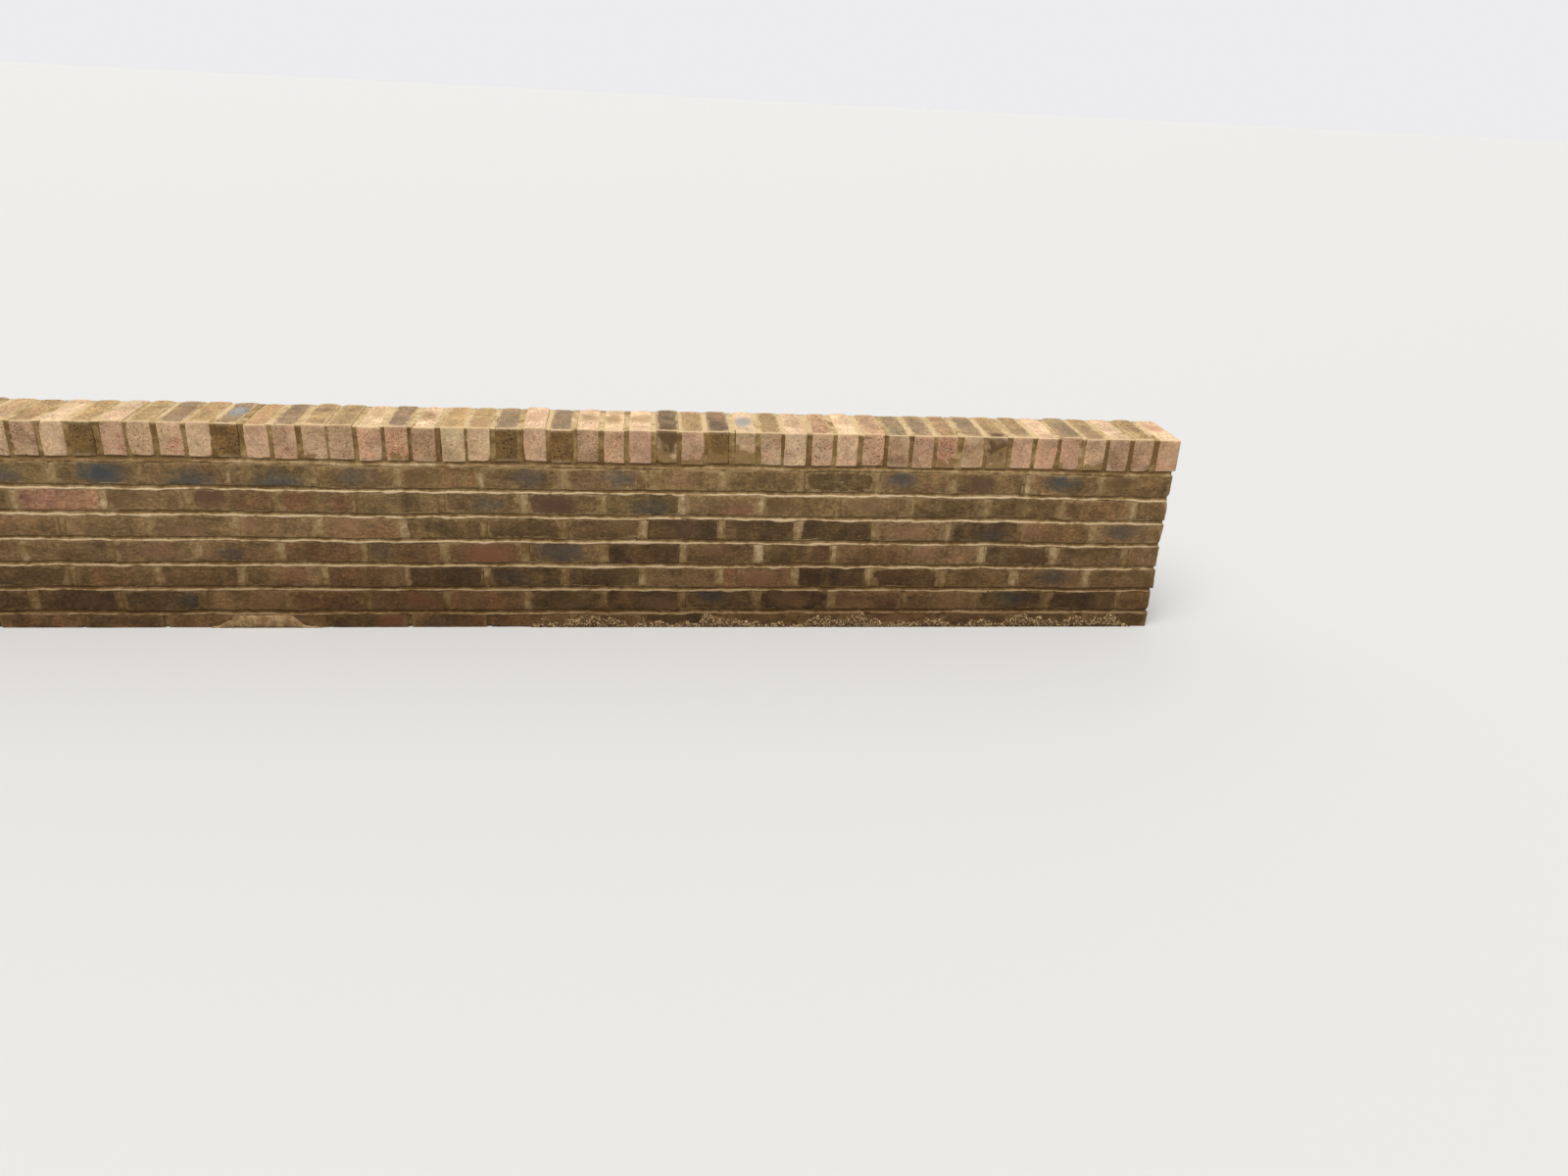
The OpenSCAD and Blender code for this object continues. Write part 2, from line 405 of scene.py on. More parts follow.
def lay_brick(pile, centre, turn, half, shown, steps, draw, look, cut=0.0):
    """Adds one worn brick. In its own frame it lies along x, its face is at -y and its bed at -z.
    half is half its size, and cut is the height at which its bottom is cut off."""
    lines = []
    for axis in range(3):
        across = any(face[0] != axis for face in shown)
        near, far = (across or (axis, side) in shown for side in (0, 1))
        lines.append(axis_lines(-half[axis], half[axis], steps[axis] if across else None, near, far))
    if cut:
        foot = cut - half[2]
        lines[2] = np.concatenate([[foot], lines[2][lines[2] > foot + MM]])
    flat, quads, polygons = lattice_box(lines, shown)
    place = flat + draw.uniform(-9, 9, 3)

    radius = look["arris"] + waves(place, ARRIS_WAVES)
    chips = []
    for _ in range(draw.poisson(CHIPS)):
        corner = draw.choice([-1, 1], 3)
        chips.append((corner, draw.uniform(*CHIP_DEPTH), draw.uniform(*CHIP_REACH)))
    for corner, depth, reach in chips + look["worn_corners"]:
        gap = np.linalg.norm((flat - half * corner) * [1, 0.6, 1], axis=1)
        radius += depth * MM * np.exp(-((gap / (reach * MM)) ** 2))
    radius = np.clip(radius, *ARRIS_LIMITS)[:, None]
    inner = np.clip(flat, radius - half, half - radius)
    away = flat - inner
    away /= np.maximum(np.linalg.norm(away, axis=1), 1e-9)[:, None]
    swell = waves(place, SWELLING) - WORN_BACK
    points = inner + away * (radius + swell[:, None])

    share = flat / half
    tilt, bow, skew, lean, twist = OUT_OF_TRUE * draw.normal(0, 1, 5).clip(-2, 2)
    points[:, 2] += tilt * share[:, 0] + bow * share[:, 0] ** 2
    points[:, 0] += skew * share[:, 2]
    points[:, 1] += lean + twist * share[:, 0] + 0.3 * skew * share[:, 2]
    values = brick_values(flat, place, half, look)
    pile.add(points @ np.array(turn).T + centre, quads, polygons, **values)


def draws(*key):
    """The random draws of one brick, joint or heap"""
    return np.random.default_rng([SEED, *key])


def pick(kinds, notable, key, draw):
    """The kind of a notable brick, or else one drawn by how often each comes"""
    for kind, bricks in notable.items():
        if key in bricks:
            return kinds[kind]
    odds = np.array([row[3] for row in kinds.values()])
    return list(kinds.values())[draw.choice(len(odds), p=odds / odds.sum())]


def jittered(tone, draw, spread):
    """A tone a little lighter or darker, redder or greener, than the one given"""
    value = np.array(tone)
    value[:3] *= 1 + spread * draw.normal(0, 1) + 0.3 * spread * draw.normal(0, 1, 3)
    return np.clip(value, 0, 1)


def wall_look(key, draw):
    """What the material reads of one stretcher or header. Only the front's bricks have a key."""
    first, second, pits, _ = pick(WALL_KINDS, WALL_NOTABLE, key, draw)
    patch_tone = (DARK, BURNT, PURPLE, TAN, PINK)[draw.integers(5)]
    spot = draw.uniform(-1, 1), draw.uniform(-0.8, 0.8)
    patch = (*spot, patch_tone, draw.uniform(0.2, 0.6) * draw.integers(2))
    along, up, patch_tone, strength = PATCHES.get(key, patch)
    at = STRETCHER * [along, -1, up]
    return dict(
        tone_a=jittered(first, draw, 0.08), tone_b=jittered(second, draw, 0.08),
        patch=[*at, strength], patch_tone=patch_tone, patch_size=WIDE_PATCHES.get(key, 1.0),
        pits=pits * draw.uniform(0.4, 1.4), top_pits=0.0,
        rim=draw.uniform(0.2, 1) * (0.4 if first == DARK else 1), rim_reach=(0.6, 1, 1.3),
        arris=ARRIS, worn_corners=[],
        crease=0.0, wear=0.0, bloom=0.0, smear=0.0, smear_side=0.0,
    )


def coping_look(index, draw):
    """What the material reads of one coping brick, whose top has weathered to other tones"""
    first, second, pits, _ = pick(COPING_KINDS, COPING_NOTABLE, index, draw)
    top_first, top_second, top_pits, _ = pick(TOP_KINDS, TOP_NOTABLE, index, draw)
    patch = (draw.uniform(-1, 1), -1, (GREY_TOP, SALMON, DULL)[draw.integers(3)], draw.uniform(0, 0.5))
    back, down, patch_tone, strength = COPING_PATCHES.get(index, patch)
    at = STRETCHER * [back, down, 0]
    second = 0.3 * np.array(first) + 0.7 * np.array(second)
    top_second = np.array([top_first, top_second]).mean(axis=0)
    worn_corners = [((1, -1, side), draw.uniform(3, 8), draw.uniform(10, 17)) for side in (-1, 1)]
    return dict(
        tone_a=jittered(first, draw, 0.05), tone_b=jittered(second, draw, 0.05),
        top_tone_a=jittered(top_first, draw, 0.06), top_tone_b=jittered(top_second, draw, 0.06),
        patch=[*at, strength], patch_tone=patch_tone, patch_size=1.0,
        pits=pits * draw.uniform(0.5, 1.3), top_pits=top_pits * draw.uniform(0.5, 1.4),
        crease=0.15 if index in SMOOTH else draw.uniform(0.6, 1.4),
        rim=draw.uniform(0.4, 1), rim_reach=(1.0, 1.6, 1), wear=1.0,
        arris=COPING_ARRIS, worn_corners=worn_corners,
        smear=SMEARED.get(index, draw.uniform(-0.5, 0.0)), smear_side=draw.uniform(-0.2, 0.2),
        bloom=0.0 if index in COPING_NOTABLE["dark"] else draw.uniform(0.0, 0.6),
    )


def turned(x_to, y_to):
    """The turn that takes a brick's own x and y to these directions of the wall"""
    x_axis, y_axis = Vector(x_to), Vector(y_to)
    return Matrix((x_axis, y_axis, x_axis.cross(y_axis))).transposed()


FRONT = turned((1, 0, 0), (0, 1, 0))
BACK = turned((-1, 0, 0), (0, -1, 0))
LEFT_END = turned((0, -1, 0), (1, 0, 0))
RIGHT_END = turned((0, 1, 0), (-1, 0, 0))
ON_EDGE = turned((0, 1, 0), (0, 0, -1))
STRETCHER = np.array([BRICK_L, BRICK_W, BRICK_H]) / 2


def course_bricks(course, side):
    """One course of one leaf: stretchers from end to end, or between the end headers"""
    low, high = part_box(f"{side}_course_{course}")
    full = high.x - low.x > 2 * HALF_L - MM
    count = math.floor((high.x - low.x + JOINT) / PITCH + 0.01)
    start = low.x + (0 if full else JOINT)
    cut = BRICK_H - (high.z - low.z)
    front = side == "front"
    pile = Pile()
    for index in range(count):
        draw = draws(course, index, front)
        shown = {(1, 0)}
        if full and index == 0:
            shown |= {(0, 0 if front else 1)}
        if full and index == count - 1:
            shown |= {(0, 1 if front else 0)}
        look = wall_look((course, index) if front else None, draw)
        x = start + index * PITCH + BRICK_L / 2
        centre = np.array([x, (low.y + high.y) / 2, high.z - BRICK_H / 2])
        centre += draw.normal(0, 1, 3).clip(-2, 2) * [1.6 * MM, 0, 1.0 * MM]
        turn, steps = (FRONT, FRONT_STEPS) if front else (BACK, BACK_STEPS)
        lay_brick(pile, centre, turn, STRETCHER, shown, steps, draw, look, cut if cut > MM else 0)
    return pile


def end_header(course, side):
    """A header through the wall at one end, whose long face shows there"""
    low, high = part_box(f"{side}_header_{course}")
    draw = draws(course, side == "left", 99)
    look = wall_look((side, course), draw)
    pile = Pile()
    turn = LEFT_END if side == "left" else RIGHT_END
    centre = np.array((low + high) / 2)
    lay_brick(pile, centre, turn, STRETCHER, {(1, 0), (0, 0), (0, 1)}, BACK_STEPS, draw, look)
    return pile


def along_bay(bay, offset):
    """For each brick of one length of the coping, its number and the x that far past its left side"""
    low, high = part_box(f"coping_bay_{bay}")
    for index in range(COPING_BRICKS):
        x = -HALF_L + index * COPING_PITCH + offset
        if low.x - MM < x < high.x - MM:
            yield index, x


def coping_bricks(bay):
    """The bricks on edge of one length of the coping, each with its bed faces in the joints"""
    pile = Pile()
    for index, x in along_bay(bay, BRICK_H / 2):
        draw = draws(50, index)
        shown = {(1, 0), (0, 0), (0, 1)}
        if index == 0:
            shown |= {(2, 1)}
        if index == COPING_BRICKS - 1:
            shown |= {(2, 0)}
        look = coping_look(index, draw)
        centre = np.array([x, 0, COPING_Z + (BRICK_W + COPING_LIFT) / 2])
        centre += draw.normal(0, 1, 3).clip(-2, 2) * [1.2 * MM, 0, MM]
        half = STRETCHER - [0, COPING_LIFT / 2, COPING_NARROW]
        half += draw.uniform(-1, 1, 3) * [0, 1.0 * MM, 1.3 * MM]
        short = draw.uniform(0, 2.5) * MM
        centre[1] -= short + draw.normal(0, 0.5) * MM
        half[0] -= short
        if index == COPING_BRICKS - 1:
            centre[0] += LAST_SHIFT
        lay_brick(pile, centre, ON_EDGE, half, shown, FRONT_STEPS, draw, look)
    return pile


def mirrored(half):
    """A joint's section that is the same on both sides, from one half of it"""
    return half + tuple((-across, *rest) for across, *rest in reversed(half))


# Sections of the joints, from the lower or left side to the upper or right one. Each row says how
# far across it lies and how deep, in mm for a joint 10 mm thick, how pale it is, and by how many mm
# it comes and goes. The outer rows lap over the worn arrises of the bricks. A bed is hollow in its
# upper half, with a thin ridge above, and its lower lip stands a little proud.
# A row's paleness is painted light as well as dirt: painted shade and dirt in the hollows, and a
# painted highlight on the lips, most of all on a bed's lower lip.
TOOLED = (
    (-5, 8, 0, 0), (-10.6, 3.6, 0.3, 0.5), (-9.4, 1, 0.8, 1.4), (-8, -0.5, 1.3, 1),
    (-5.6, -0.6, 1.6, 0.7), (-3.8, 1.0, 0.8, 1), (-2.4, 3.4, 0.1, 0.8), (1, 4.6, 0.1, 0.8),
    (5, 4.8, 0, 0.8), (6.8, 3.4, 0, 1.4), (8, 1.0, 0.3, 2), (9.4, 0.6, 0.5, 2),
    (10.4, 3.8, 0.2, 1), (5, 8, 0, 0),
)
# Under the coping bricks this bed's mortar is painted darkest, a painted shadow.
SHADED = (
    (-5, 8, 0, 0), (-9.6, 3.6, 0, 0.5), (-8.2, 0.9, 0.15, 1.4), (-5.5, 0.8, 0.2, 1),
    (-2.6, 0.2, 0.5, 1), (-0.5, 0.6, 0.4, 0.8), (1.6, 2.8, 0, 0.8), (5, 4.8, -0.2, 0.8),
    (9, 5.2, -0.3, 1), (13, 6.4, -0.3, 0), (14, 9, -0.3, 0), (5, 10, 0, 0),
)
FLUSH = mirrored((
    (-5, 8, 0, 0), (-15, 1.8, 0, 0), (-12.8, 0.35, 0.1, 0.2), (-10.6, -0.3, 0.3, 0.3),
    (-7.6, 0.2, 0.3, 0.4), (-3.5, 0.9, 0.5, 0.4),
))
COPED = mirrored((
    (-5, 9, 0, 0), (-10.9, 4, 0.1, 0), (-9.4, 0.9, 0.2, 1), (-7, 0.5, 0.3, 0.8), (-3, 1.0, 0.3, 0.6),
))
# Rows further across than this lap over the bricks, and rows less deep than this are on the face
LAP_START, FACE_END = 5.1 * MM, 7 * MM


def joint_band(pile, path, outward, across, profile, seed, ragged, sway,
               closed=False, width=JOINT, deeper=0.0, pale=0.0, spread=1.0, blunt=0.0):
    """Mortar along a path on the wall's face, with a tooled profile. ragged is how uneven its edge
    is and sway how far the whole profile wanders. deeper and pale are added to the profile's, spread
    widens its laps and blunt flattens it, with one value for all or one for each point."""
    deeper, pale, spread, blunt = (np.reshape(value, (-1, 1)) for value in (deeper, pale, spread, blunt))
    rows = np.array(profile) * [MM, MM, 1, MM]
    rows[:, 0] *= (width / JOINT + 1) / 2
    lap = np.abs(rows[:, 0]) > LAP_START
    face = rows[:, 1] < FACE_END
    spots = path[:, None] + rows[None, :, :1] * np.array(across)
    flat = spots.reshape(-1, 3)
    wide, fine, smear, loose = (noise(flat, size, seed + n).reshape(spots.shape[:2])
                                for n, size in enumerate((0.035, 0.011, 0.05, 0.03)))
    slow = noise(path, 0.16, seed + 7)[:, None]
    uneven = spread - 1 + ragged * (wide + 0.45 * fine) + 0.8 * np.clip(smear - 0.35, 0, 1) + 0.08 * slow
    wander = sway * (noise(path, 0.07, seed + 5) + 0.6 * noise(path, 0.022, seed + 6))
    shift = rows[:, 0] * np.where(lap, uneven, 0) + np.where(face, wander[:, None], 0)
    depth = rows[:, 1] + np.where(face, 0.5 * wide + 0.45 * fine, 0) * MM + deeper
    depth += rows[:, 3] * np.clip(0.2 + loose, 0, 1)
    depth += np.where(face, blunt * (3 * MM - depth), 0)
    spots = spots + shift[:, :, None] * np.array(across) - depth[:, :, None] * outward[:, None]
    order = np.arange(depth.size).reshape(depth.shape)
    this = order if closed else order[:-1]
    after = np.roll(order, -1, 0) if closed else order[1:]
    quads = np.stack([this, np.roll(this, -1, 1), np.roll(after, -1, 1), after], -1).reshape(-1, 4)
    caps = () if closed else (order[0][::-1], order[-1])
    if np.dot(np.cross(across, path[1] - path[0]), outward[0]) > 0:
        quads = quads[:, ::-1]
        caps = tuple(cap[::-1] for cap in caps)
    # The profile's paleness paints shade into the hollows and a highlight onto the lips, with dirt.
    paleness_and_painted_light = rows[:, 2] * (1 + 0.5 * wide + 0.4 * fine) + pale + 0.25 * loose
    paleness_and_painted_light += 0.45 * slow + 0.35 * noise(path, 0.045, seed + 8)[:, None]
    pile.add(spots.reshape(-1, 3), quads, caps, pale=paleness_and_painted_light.ravel())


def rounded_outline(corners, radius, steps, closed):
    """Points along an outline in a plane, which turns left at rounded corners, and the outward normal
    at each. steps gives the spacing on each side."""
    corners = [np.array(corner, float) for corner in corners]
    points, normals = [], []
    for index in range(len(corners) if closed else len(corners) - 1):
        corner, after = corners[index], corners[(index + 1) % len(corners)]
        heading = (after - corner) / np.linalg.norm(after - corner)
        normal = np.array([heading[1], -heading[0]])
        if closed or index > 0:
            arrived = corner - corners[index - 1]
            old_normal = np.array([arrived[1], -arrived[0]]) / np.linalg.norm(arrived)
            centre = corner - radius * (normal + old_normal)
            for share in (0.15, 0.5, 0.85):
                angle = share * math.pi / 2
                direction = old_normal * math.cos(angle) + normal * math.sin(angle)
                points.append(centre + radius * direction)
                normals.append(direction)
            corner = corner + heading * radius
        if closed or index < len(corners) - 2:
            after = after - heading * radius
        count = max(int(np.linalg.norm(after - corner) / steps[index]), 2)
        points += [corner + (after - corner) * share for share in np.linspace(0, 1, count)]
        normals += [normal] * count
    return np.array(points), np.array(normals)


def bed_joint(node, profile):
    """A bed of mortar with this profile all round the wall"""
    low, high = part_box(node)
    z = (low.z + high.z) / 2
    corners = [(-HALF_L, -HALF_T), (HALF_L, -HALF_T), (HALF_L, HALF_T), (-HALF_L, HALF_T)]
    steps = (5 * MM, 8 * MM, 16 * MM, 8 * MM)
    outline, normals = rounded_outline(corners, 1.7 * ARRIS, steps, True)
    gap = np.linalg.norm([HALF_L, HALF_T] - np.abs(outline), axis=1)
    worn = 0.85 * np.exp(-((gap / 0.011) ** 2))
    path = np.column_stack([outline, np.full(len(outline), z)])
    outward = np.column_stack([normals, np.zeros(len(outline))])
    pile = Pile()
    seed = SEED + int(z * 1000)
    joint_band(pile, path, outward, (0, 0, 1), profile, seed, ragged=0.22, sway=2.6 * MM,
               closed=True, blunt=worn)
    return pile


def upright_joint(pile, foot, top, outward, across, seed, recess=0.0):
    """A perpend: mortar between the beds, which it dives under at both ends"""
    overlap = 2 * MM
    count = 13
    path = np.tile(np.array(foot, float), (count, 1))
    path[:, 2] = np.linspace(foot[2] - overlap, top + overlap, count)
    deeper = np.full(count, recess)
    deeper[[0, -1]] += 4 * MM
    deeper[[1, -2]] += 1 * MM
    spread = 1 + 0.35 * np.abs(np.linspace(-1, 1, count)) ** 5
    pale = np.random.default_rng(seed).uniform(-0.2, 0.1) + 0.1 * min(max(foot[0] / 0.6, -0.3), 1)
    joint_band(pile, path, np.tile(outward, (count, 1)), across, FLUSH, seed, ragged=0.2,
               sway=1.8 * MM, deeper=deeper, pale=pale, spread=spread)


def course_perpends(course, side):
    """The perpends of one course of one leaf. Some of the lowest ones were never filled."""
    low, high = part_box(f"{side}_course_{course}")
    full = high.x - low.x > 2 * HALF_L - MM
    first = low.x + (BRICK_L if full else 0) + JOINT / 2
    count = round((high.x - low.x) / PITCH) + (-1 if full else 1)
    sign = -1 if side == "front" else 1
    pile = Pile()
    for index in range(count):
        foot = (first + index * PITCH, sign * HALF_T, max(low.z, 2 * MM))
        seed = SEED + 100 * course + index + 50 * sign
        recess = 4 * MM if course == 1 and index % 3 else 0.0
        upright_joint(pile, foot, high.z, (0, sign, 0), (1, 0, 0), seed, recess)
    return pile


def collar_ends(course):
    """The collar joint's two ends, which show between the leaves at the ends of a full course"""
    low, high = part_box(f"collar_joint_{course}")
    pile = Pile()
    for sign in (-1, 1):
        foot = (sign * HALF_L, 0, max(low.z, 2 * MM))
        upright_joint(pile, foot, high.z, (sign, 0, 0), (0, 1, 0), SEED + 40 * course + sign)
    return pile


def coping_joints(bay):
    """The joints of one length of the coping: up the back, over the top, where the mortar is pale and
    flush, and down the front, where it is hollow and dark"""
    foot = COPING_Z - 2 * MM
    corners = [(HALF_T, foot), (HALF_T, TOP), (-HALF_T, TOP), (-HALF_T, foot)]
    outline, normals = rounded_outline(corners, 1.3 * COPING_ARRIS, (9 * MM, 7 * MM, 5 * MM), False)
    upright = 1 - np.clip(normals[:, 1] * 1.4, 0, 1)
    upright *= np.clip((TOP - outline[:, 1]) / (9 * MM), 0.15, 1)
    pile = Pile()
    for index, x in along_bay(bay, -COPING_JOINT / 2):
        draw = draws(60, index)
        path = np.column_stack([np.full(len(outline), x), outline])
        outward = np.column_stack([np.zeros(len(outline)), normals])
        recess = upright * max(0, draw.uniform(-1.5, 3)) * MM
        recess += 4 * MM * np.clip((COPING_Z + 8 * MM - outline[:, 1]) / (7 * MM), 0, 1)
        recess += 3 * MM * np.exp(-((np.linalg.norm(outline - [HALF_T, TOP], axis=1) / 0.016) ** 2))
        # Painted light: paler where the joint faces up, the mortar's paler tone and light from above,
        # and darker down the front, for dirt and painted shade.
        pale = draw.uniform(0.6, 1.1) * (1 - upright) - upright * draw.uniform(0, 0.3)
        seed = SEED + 900 + 7 * index
        joint_band(pile, path, outward, (1, 0, 0), COPED, seed, ragged=0.28, sway=1.8 * MM,
                   width=COPING_JOINT, deeper=recess, pale=pale)
    return pile


def ball(subdivisions):
    """The points and triangles of a round form of radius 1"""
    form = bmesh.new()
    bmesh.ops.create_icosphere(form, subdivisions=subdivisions, radius=1)
    points = np.array([vertex.co for vertex in form.verts])
    faces = np.array([[vertex.index for vertex in face.verts] for face in form.faces])
    form.free()
    return points, faces


def heap(x, rise):
    """A low heap along the foot of the front, which rises that far at each x: points, quads and caps"""
    angles = np.linspace(0, math.pi / 2, 6)
    out = np.concatenate([HEAP_DEPTH * np.cos(angles) ** 0.5, [-5 * MM, -5 * MM]])
    up = np.concatenate([np.sin(angles), [1, 0]])
    across = np.tile(-HALF_T - out, (len(x), 1))
    spots = np.stack([np.tile(x[:, None], len(out)), across, rise[:, None] * up], -1)
    lumps = noise(spots.reshape(-1, 3), 0.007, SEED + 73).reshape(across.shape)
    spots[:, :6, 1] -= 0.9 * MM * lumps[:, :6]
    spots[:, 1:6, 2] += 1.5 * MM * lumps[:, 1:6]
    order = np.arange(across.size).reshape(across.shape)
    this, after = order[:-1], order[1:]
    quads = np.stack([this, after, np.roll(after, -1, 1), np.roll(this, -1, 1)], -1).reshape(-1, 4)
    return spots.reshape(-1, 3), quads, (order[0], order[-1][::-1])


def crumbs():
    """What was dropped along the foot of the front: a smear of mortar, and low heaps of rubble"""
    ridge, loose = Pile(), Pile()
    draw = draws(70)
    forms = ball(1), ball(1), ball(2)
    for start, end, height, lumpy, fade_length, lumps_per_m in DROPPINGS:
        x = np.arange(start, end, 3 * MM)
        along = np.column_stack([x, 0 * x, 0 * x])
        fade = np.clip(np.minimum(x - start, end - x) / fade_length, 0, 1)
        uneven = 0.75 + 0.7 * noise(along, 0.07, SEED + 71) + 0.35 * noise(along, 0.018, SEED + 72)
        rise = np.clip(height * fade * uneven, *HEAP_LIMITS)
        ridge.add(*heap(x, rise), lumpy=lumpy)
        for _ in range(int((end - start) * lumps_per_m)):
            at = draw.choice(len(x), p=rise / rise.sum())
            size = draw.choice(3, p=[0.4, 0.4, 0.2])
            radius = LUMP_RADII[size] * draw.uniform(0.8, 1.2) * MM
            out = draw.uniform(*LUMP_OUT) * MM - radius
            up = max(rise[at] * draw.uniform(0.1, 1.1), 1.1 * radius)
            spot = np.array([x[at], -HALF_T - out, up])
            round_points, round_faces = forms[size]
            shape = round_points * draw.uniform(0.55, 1, 3)
            shape *= (1 + 0.45 * noise(round_points + spot * 900, 0.7, 3))[:, None]
            tone = (PALE, MORTAR, MORTAR, TAN_TOP, TAN, TAN, BROWN, BROWN)[draw.integers(8)]
            loose.add(spot + radius * shape, round_faces, tone=jittered(tone, draw, 0.15))
    return ridge, loose


class Net:
    """The nodes of a material or world, made by short calls that return the sockets of their results"""

    def __init__(self, name, kind="materials"):
        self.owner = getattr(bpy.data, kind).new(name)
        self.owner.use_nodes = True
        self.tree = self.owner.node_tree
        self.tree.nodes.clear()

    def node(self, kind, inputs=None, **settings):
        made = self.tree.nodes.new("ShaderNode" + kind)
        for key, value in settings.items():
            setattr(made, key, value)
        for key, value in (inputs or {}).items():
            if isinstance(value, bpy.types.NodeSocket):
                self.tree.links.new(value, made.inputs[key])
            else:
                made.inputs[key].default_value = value
        return made.outputs

    def read(self, name, output="Fac"):
        return self.node("Attribute", attribute_name=name)[output]

    def place(self):
        return self.node("TexCoord")["Object"]

    def math(self, operation, *terms):
        return self.node("Math", dict(enumerate(terms)), operation=operation)[0]

    def vector(self, operation, *terms):
        return self.node("VectorMath", dict(enumerate(terms)), operation=operation)

    def times(self, first, *others):
        for other in others:
            first = self.math("MULTIPLY", first, other)
        return first

    def plus(self, base, *rows):
        """base and each row's value times its factor, added up"""
        for value, factor in rows:
            base = self.math("MULTIPLY_ADD", value, factor, base)
        return base

    def noise(self, at, scale, detail=3.0, roughness=0.55):
        """Noise of this scale, or of one scale for each axis"""
        if isinstance(scale, tuple):
            at, scale = self.vector("MULTIPLY", at, scale)[0], 1
        inputs = {"Vector": at, "Scale": scale, "Detail": detail, "Roughness": roughness}
        return self.node("TexNoise", inputs)["Fac"]

    def step(self, value, low, high, kind="SMOOTHSTEP"):
        """A smooth rise from 0 at low to 1 at high"""
        inputs = {"Value": value, "From Min": low, "From Max": high}
        return self.node("MapRange", inputs, interpolation_type=kind)["Result"]

    def ramp(self, value, low, high):
        """A straight rise from 0 at low to 1 at high"""
        return self.step(value, low, high, "LINEAR")

    def scaled(self, value, low, high):
        """low where value is 0, and high where it is 1"""
        return self.node("MapRange", {"Value": value, "To Min": low, "To Max": high})["Result"]

    def mix(self, share, first, second, blend="MIX"):
        inputs = {0: share, 6: first, 7: second}
        return self.node("Mix", inputs, data_type="RGBA", blend_type=blend)[2]

    def brighten(self, colour, value, low, high):
        """colour times low where value is 0, and times high where it is 1"""
        inputs = {0: colour, "Scale": self.scaled(value, low, high)}
        return self.node("VectorMath", inputs, operation="SCALE")[0]

    def cells(self, at, scale, bend_scale, bend):
        """Cells of this scale with bent edges: the distance to their middles, and their random traits"""
        bent = self.node("TexNoise", {"Vector": at, "Scale": bend_scale, "Detail": 2.0})["Color"]
        moved = self.vector("MULTIPLY_ADD", bent, [bend] * 3, at)[0]
        made = self.node("TexVoronoi", {"Vector": moved, "Scale": scale})
        return made["Distance"], self.node("SeparateColor", {0: made["Color"]})

    def spots(self, at, scale, size, share):
        """1 within ragged spots of several sizes, in about that share of the cells of this scale"""
        distance, traits = self.cells(at, scale, 1.7 * scale, 0.7 / scale)
        near = self.math("DIVIDE", distance, self.plus(0.3 * size, (traits[1], 0.7 * size)))
        return self.times(self.step(near, 1.0, 0.6), self.math("LESS_THAN", traits[0], share))

    def finish(self, colour, height, roughness=0.9):
        """The surface: height is in millimetres"""
        bump = self.node("Bump", {"Height": height, "Distance": MM})["Normal"]
        inputs = {"Base Color": colour, "Roughness": roughness, "Normal": bump}
        inputs["Specular IOR Level"] = 0.25
        self.node("OutputMaterial", {"Surface": self.node("BsdfPrincipled", inputs)[0]})
        return self.owner


def damp(net, colour, wet, dry_from=0.56, wet_to=0.20):
    """The lowest courses are darker, where rain has splashed and damp has risen"""
    place = net.place()
    height = net.node("SeparateXYZ", {0: place})["Z"]
    uneven = net.plus(height, (net.noise(place, 6), (dry_from - wet_to) / 1.44))
    return net.mix(net.ramp(uneven, dry_from, wet_to), colour, wet, "MULTIPLY")


